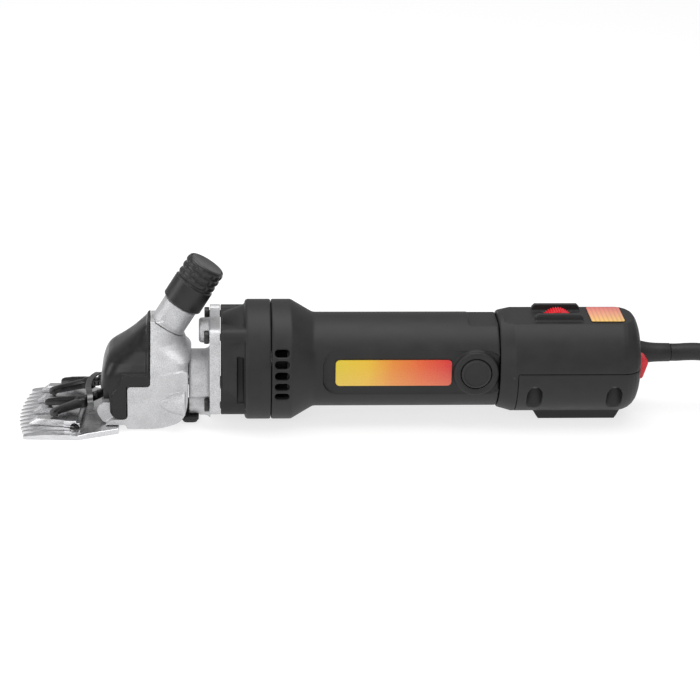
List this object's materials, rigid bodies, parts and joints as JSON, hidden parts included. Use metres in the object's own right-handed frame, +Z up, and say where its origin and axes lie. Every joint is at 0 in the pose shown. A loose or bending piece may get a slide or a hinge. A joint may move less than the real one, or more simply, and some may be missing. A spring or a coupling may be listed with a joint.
{
  "type": "electric sheep shears",
  "caption": "Mains-powered sheep shears: wide toothed comb and swinging cutter on a cast head with a tension knob, round black motor grip, speed dial, rocker switch and cord.",
  "frame": {"origin": "under the middle of the tool, on the surface that its comb, fan housing and rear skid rest on", "axes": "+Z up, -X towards the comb's teeth, +X towards the mains cord, motor axis level along X at Z 33 mm"},
  "size_m": [0.6133, 0.1, 0.0937],
  "materials": {
    "cast_aluminium": "rough cast",
    "polished_steel": "ground and polished",
    "black_steel": "black oxide",
    "spring_steel": "bright",
    "gloss_black": "semi-gloss moulded",
    "black_plastic": "fine spark-eroded texture",
    "black_rubber": "matte",
    "red_plastic": "moulded",
    "side_label": "printed film, yellow to red",
    "rating_label": "printed film, plain",
    "bronze": "machined",
    "copper": "enamelled wire",
    "carbon": "sintered",
    "circuit_board": "solder mask"
  },
  "bodies": {
    "housing": {"comb": "polished_steel", "comb_screw_near": "black_steel", "comb_screw_far": "black_steel", "head_casting": "cast_aluminium", "pivot_post": "polished_steel", "head_cover": "gloss_black", "access_plug": "black_rubber", "gearbox_cover": "cast_aluminium", "flange_screw_near_low": "black_steel", "flange_screw_near_high": "black_steel", "flange_screw_far_low": "black_steel", "flange_screw_far_high": "black_steel", "gear_case": "black_plastic", "output_bearing": "spring_steel", "output_bush": "bronze", "motor_housing": "black_plastic", "side_label": "side_label", "bearing_front": "spring_steel", "bearing_rear": "spring_steel", "stator_core": "black_steel", "field_coil_upper": "copper", "field_coil_lower": "copper", "brush_holder_near": "bronze", "carbon_brush_near": "carbon", "brush_cap_near": "black_plastic", "brush_holder_far": "bronze", "carbon_brush_far": "carbon", "brush_cap_far": "black_plastic", "rear_housing": "black_plastic", "bottom_cover": "black_plastic", "cover_screw_front_near": "black_steel", "cover_screw_front_far": "black_steel", "cover_screw_back_near": "black_steel", "cover_screw_back_far": "black_steel", "control_board": "circuit_board", "rating_label": "rating_label", "switch_body": "black_plastic", "strain_relief": "black_rubber", "power_cord": "black_rubber", "cord_coil": "black_rubber", "mains_plug": "black_rubber"},
    "fork": {"fork_body": "black_steel", "yoke_near": "black_steel", "yoke_far": "black_steel", "yoke_spring": "spring_steel", "cutter": "polished_steel"},
    "tension_pin": {"tension_pin": "polished_steel"},
    "knob": {"tension_knob": "black_plastic", "knob_cap": "black_steel"},
    "rotor": {"armature_shaft": "polished_steel", "armature_core": "black_steel", "commutator": "copper", "cooling_fan": "black_plastic"},
    "output": {"output_shaft": "polished_steel", "crank_roller": "bronze", "output_gear": "black_steel"},
    "dial": {"speed_dial": "red_plastic"},
    "rocker": {"switch_rocker": "red_plastic"}
  },
  "joints": [
    {"name": "motor_spin", "type": "hinge", "parent": "housing", "child": "rotor", "pos_m": [0, 0, 0.033], "axis": [1, 0, 0], "continuous": true},
    {"name": "output_spin", "type": "hinge", "parent": "housing", "child": "output", "pos_m": [-0.05, 0, 0.0185], "axis": [1, 0, 0], "continuous": true},
    {"name": "fork_swing", "type": "hinge", "parent": "housing", "child": "fork", "pos_m": [-0.098, 0, 0.0175], "axis": [0, 0, 1], "range_deg": [-3.5, 11.5]},
    {"name": "pin_feed", "type": "slide", "parent": "housing", "child": "tension_pin", "axis": [0.5299, 0, 0.848], "range_m": [-0.00021, 0.00187]},
    {"name": "knob_turn", "type": "hinge", "parent": "tension_pin", "child": "knob", "pos_m": [-0.0921, 0, 0.0531], "axis": [0.5299, 0, 0.848], "range_deg": [-60, 540]},
    {"name": "dial_turn", "type": "hinge", "parent": "housing", "child": "dial", "pos_m": [0.1241, 0, 0.0522], "axis": [0, 1, 0], "range_deg": [-135, 135]},
    {"name": "rocker_tilt", "type": "hinge", "parent": "housing", "child": "rocker", "pos_m": [0.168, -0.009, 0.0317], "axis": [0, 1, 0], "range_deg": [-14, 0]}
  ],
  "couplings": [
    {"joint": "output_spin", "follows": "motor_spin", "ratio": -0.33333},
    {"joint": "knob_turn", "follows": "pin_feed", "rad_per_m": 5026.5}
  ]
}
